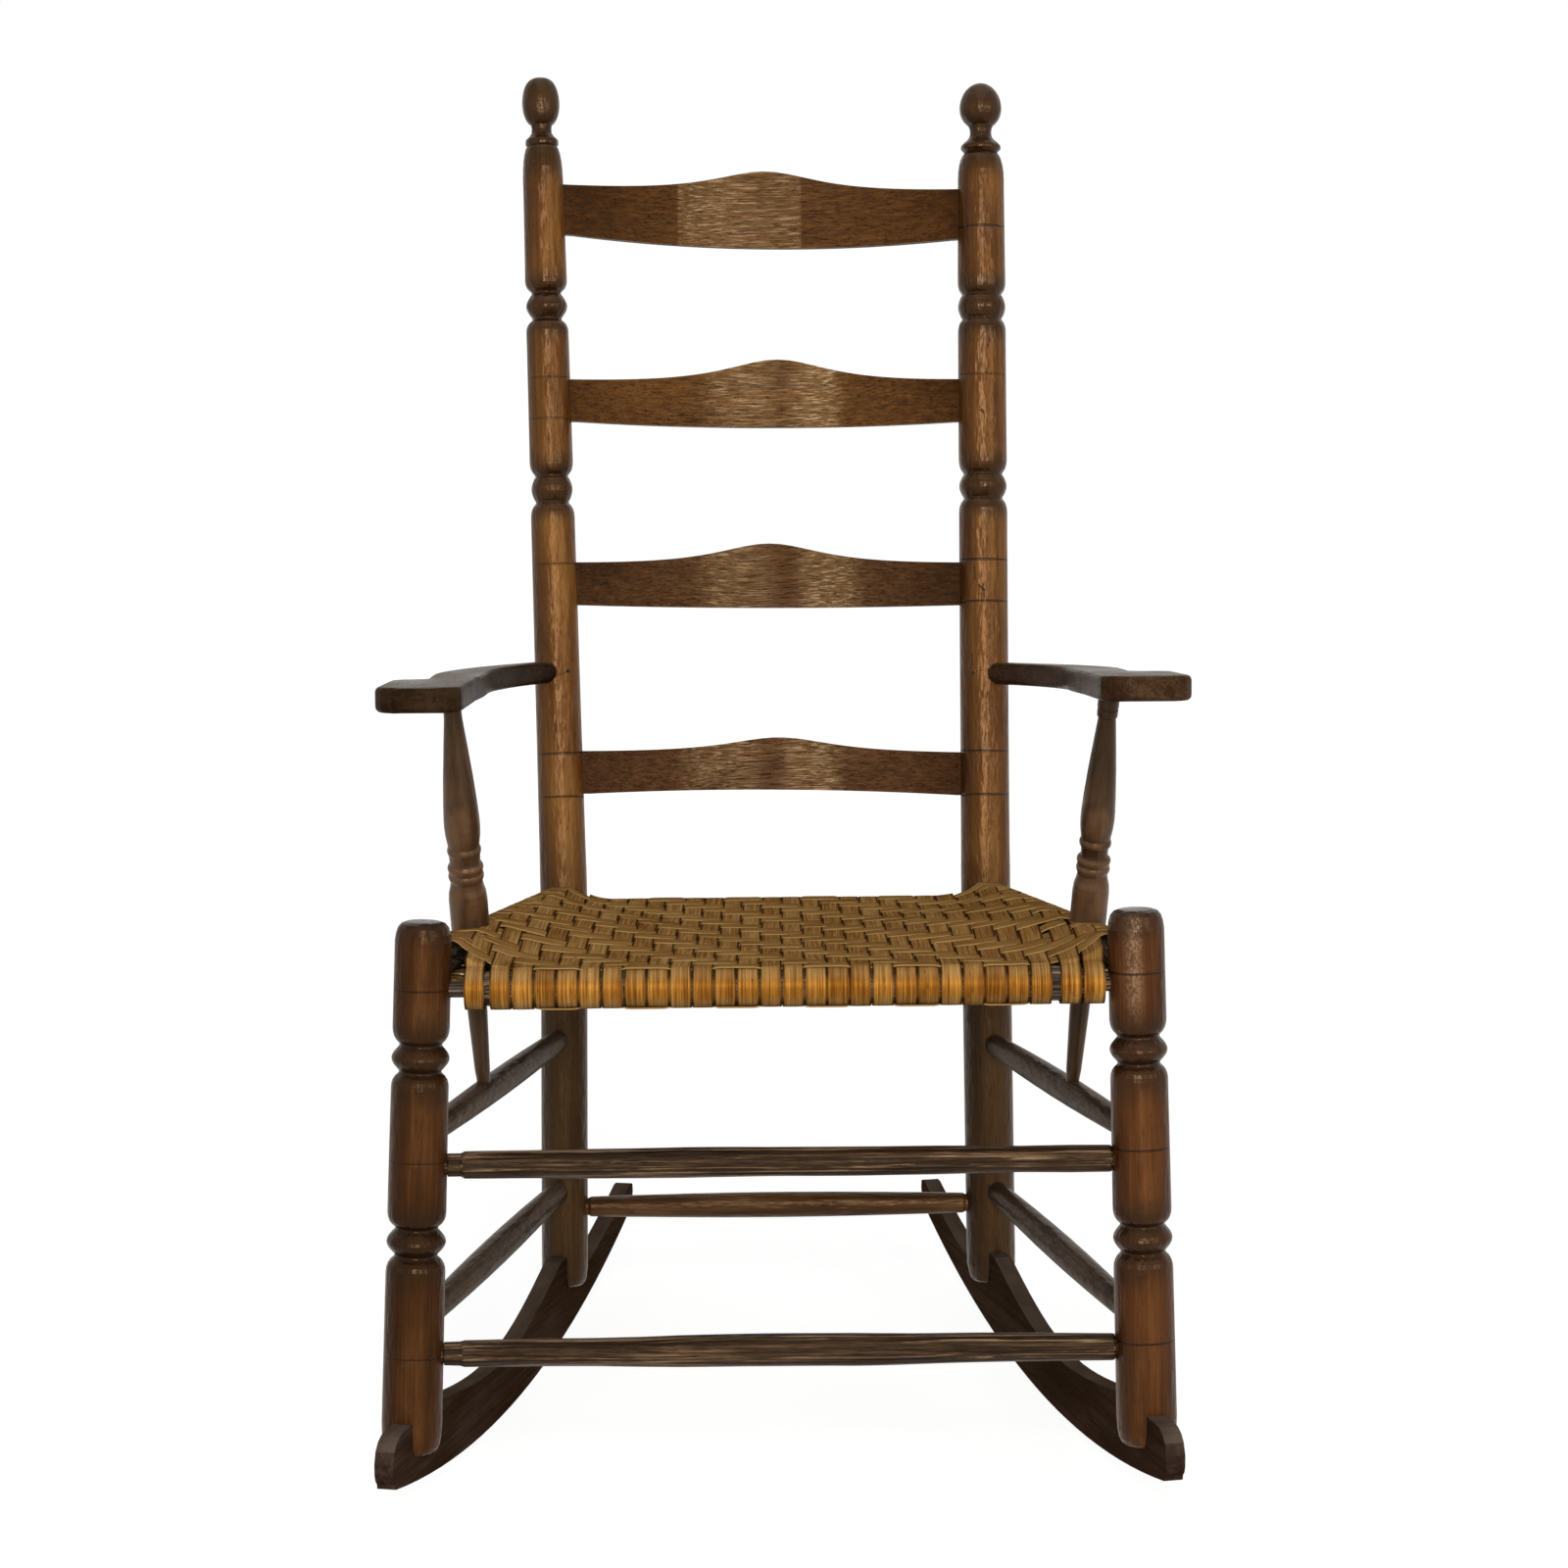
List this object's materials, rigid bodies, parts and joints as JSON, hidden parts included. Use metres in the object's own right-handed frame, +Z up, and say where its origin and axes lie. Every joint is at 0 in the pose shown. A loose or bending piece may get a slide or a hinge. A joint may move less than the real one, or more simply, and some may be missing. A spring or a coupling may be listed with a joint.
{
  "type": "ladder back rocking chair",
  "caption": "Ladder back rocking armchair with turned posts and finials, bowed peaked slats, paddle arms on raked spindles, a woven splint seat and toed-in rockers.",
  "frame": {"origin": "on the floor under the middle of the bounding box, with the chair leaned back into its balanced rest pose", "axes": "+X across the chair, -Y the way the sitter faces, +Z up from the floor"},
  "size_m": [0.5774, 0.636, 1.0122],
  "materials": {
    "dark_walnut_stain": "old semi gloss varnish",
    "chestnut_stain": "old semi gloss varnish",
    "slat_oak": "worn satin varnish",
    "rung_wood": "rough satin",
    "rocker_wood": "satin",
    "ash_splint": "aged satin splint",
    "nail_iron": "dull"
  },
  "bodies": {
    "root": {"front_post_left": "dark_walnut_stain", "front_post_right": "dark_walnut_stain", "arm_left": "dark_walnut_stain", "arm_right": "dark_walnut_stain", "arm_spindle_left": "dark_walnut_stain", "arm_spindle_right": "dark_walnut_stain", "rear_post_left": "chestnut_stain", "rear_post_right": "chestnut_stain", "top_slat": "slat_oak", "second_slat": "slat_oak", "third_slat": "slat_oak", "bottom_slat": "slat_oak", "seat_rail_front": "rung_wood", "seat_rail_rear": "rung_wood", "seat_rail_left": "rung_wood", "seat_rail_right": "rung_wood", "front_stretcher_upper": "rung_wood", "front_stretcher_lower": "rung_wood", "rear_stretcher": "rung_wood", "side_stretcher_left_upper": "rung_wood", "side_stretcher_left_lower": "rung_wood", "side_stretcher_right_upper": "rung_wood", "side_stretcher_right_lower": "rung_wood", "rocker_left": "rocker_wood", "rocker_right": "rocker_wood", "woven_seat": "ash_splint", "arm_pins": "nail_iron"}
  },
  "joints": []
}
